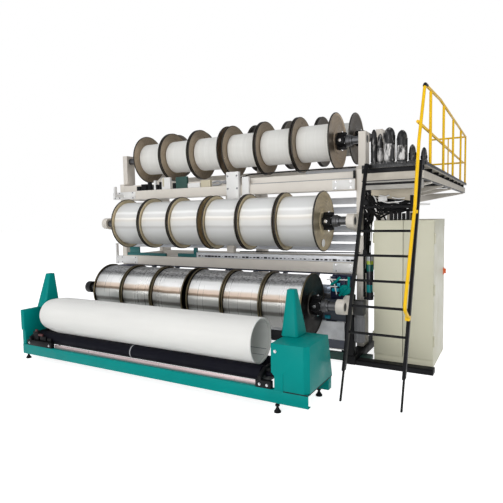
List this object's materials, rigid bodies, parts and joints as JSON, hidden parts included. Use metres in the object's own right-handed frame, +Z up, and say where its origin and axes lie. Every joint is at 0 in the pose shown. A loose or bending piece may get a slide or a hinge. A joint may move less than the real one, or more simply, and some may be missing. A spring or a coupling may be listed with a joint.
{
  "type": "warp knitting machine",
  "caption": "Warp knitting machine with rows of flanged warp beams on side frames, a cloth batching unit in front, a service deck with ladder and guard rail, and a control cabinet",
  "frame": {"origin": "on the floor under the centre sill, half way between the front and rear posts and half way between the third and fourth warp beam of each row", "axes": "+X towards the cabinet along the warp beams, +Y from the batching unit to the back, +Z up"},
  "size_m": [5.24, 6.4459, 3.341],
  "materials": {
    "bed_grey": "dark blue-grey enamel",
    "cabinet_beige": "pale greenish-grey enamel",
    "cloth_white": "white knitted cloth",
    "dark_steel": "black enamel",
    "deck_grey": "grey enamel",
    "flange_bronze": "anodised bronze-brown",
    "flange_dark": "dark anodised",
    "flange_gold": "anodised golden bronze",
    "guard_yellow": "yellow enamel tube",
    "lamp_bands": "banded plastic",
    "machine_frame": "semi-gloss beige enamel",
    "panel_grey": "light grey over navy",
    "plate_blue": "bluish silver plate",
    "roller_black": "black navy rubberised roller",
    "shaft_steel": "dark oiled steel",
    "strip_pink": "flat strip",
    "switch_orange": "orange plastic",
    "teal_enamel": "gloss teal-green enamel",
    "yarn_gloss": "glossy white filament yarn",
    "yarn_silver": "shiny silver filament yarn",
    "yarn_white": "matt off-white yarn"
  },
  "bodies": {
    "machine": {"base_sills": "dark_steel", "side_posts": "machine_frame", "side_beams": "machine_frame", "lower_row_legs": "dark_steel", "cross_beams": "machine_frame", "centre_columns": "machine_frame", "beam_fittings": "machine_frame", "beam_bearings": "machine_frame", "bed_casting": "bed_grey", "bed_feet": "bed_grey", "kick_panel": "panel_grey", "needle_head": "shaft_steel", "guide_bars": "plate_blue", "guide_bar_hangers": "teal_enamel", "head_end_housings": "teal_enamel", "yarn_plates": "plate_blue", "batcher_front_rail": "teal_enamel", "batcher_rear_beam": "teal_enamel", "batcher_drive_housing": "teal_enamel", "batcher_end_frame": "teal_enamel", "batcher_towers": "teal_enamel", "batcher_feet": "dark_steel", "roller_carriers": "dark_steel", "guide_strip": "strip_pink", "deck_plate": "dark_steel", "deck_channels": "machine_frame", "deck_joists": "deck_grey", "deck_front_beam": "deck_grey", "deck_cantilevers": "deck_grey", "deck_columns": "deck_grey", "guard_rails": "guard_yellow", "ladder_handrail": "guard_yellow", "ladder_stringers": "dark_steel", "ladder_rungs": "dark_steel", "pattern_drives": "dark_steel", "drive_cover": "machine_frame", "letoff_motor": "deck_grey", "signal_column": "lamp_bands", "cabinet": "cabinet_beige", "cabinet_switch": "switch_orange", "floor_duct": "dark_steel"},
    "top_row": {"top_spools": "flange_bronze", "top_yarn": "yarn_white", "top_shaft": "shaft_steel"},
    "middle_row": {"middle_spools": "flange_gold", "middle_yarn": "yarn_gloss", "middle_shaft": "shaft_steel"},
    "lower_row": {"lower_spools": "flange_dark", "lower_yarn": "yarn_silver", "lower_shaft": "shaft_steel"},
    "rear_row": {"rear_spools": "flange_bronze", "rear_yarn": "yarn_white", "rear_shaft": "shaft_steel"},
    "cloth_roll": {"cloth_roll": "cloth_white"},
    "front_roller": {"front_roller": "roller_black"},
    "rear_roller": {"rear_roller": "roller_black"},
    "left_door": {"cabinet_left_door": "cabinet_beige"},
    "right_door": {"cabinet_right_door": "cabinet_beige"}
  },
  "joints": [
    {"name": "top_row_spin", "type": "hinge", "parent": "machine", "child": "top_row", "pos_m": [0, -0.416, 2.808], "axis": [1, 0, 0], "continuous": true},
    {"name": "middle_row_spin", "type": "hinge", "parent": "machine", "child": "middle_row", "pos_m": [0, -0.954, 1.757], "axis": [1, 0, 0], "continuous": true},
    {"name": "lower_row_spin", "type": "hinge", "parent": "machine", "child": "lower_row", "pos_m": [0, -1.353, 0.766], "axis": [1, 0, 0], "continuous": true},
    {"name": "rear_row_spin", "type": "hinge", "parent": "machine", "child": "rear_row", "pos_m": [0, 0.45, 2.96], "axis": [1, 0, 0], "continuous": true},
    {"name": "cloth_roll_spin", "type": "hinge", "parent": "machine", "child": "cloth_roll", "pos_m": [-0.052, -2.461, 0.587], "axis": [1, 0, 0], "continuous": true},
    {"name": "front_roller_spin", "type": "hinge", "parent": "machine", "child": "front_roller", "pos_m": [0, -2.611, 0.31536], "axis": [1, 0, 0], "continuous": true},
    {"name": "rear_roller_spin", "type": "hinge", "parent": "machine", "child": "rear_roller", "pos_m": [0, -2.311, 0.31536], "axis": [1, 0, 0], "continuous": true},
    {"name": "left_door_hinge", "type": "hinge", "parent": "machine", "child": "left_door", "pos_m": [2.226, -0.7873, 0.93], "axis": [0, 0, -1], "range_deg": [0, 90]},
    {"name": "right_door_hinge", "type": "hinge", "parent": "machine", "child": "right_door", "pos_m": [2.939, -0.7873, 0.93], "axis": [0, 0, 1], "range_deg": [0, 90]}
  ],
  "couplings": [
    {"joint": "front_roller_spin", "follows": "cloth_roll_spin", "ratio": -3.1333},
    {"joint": "rear_roller_spin", "follows": "cloth_roll_spin", "ratio": -3.1333}
  ]
}
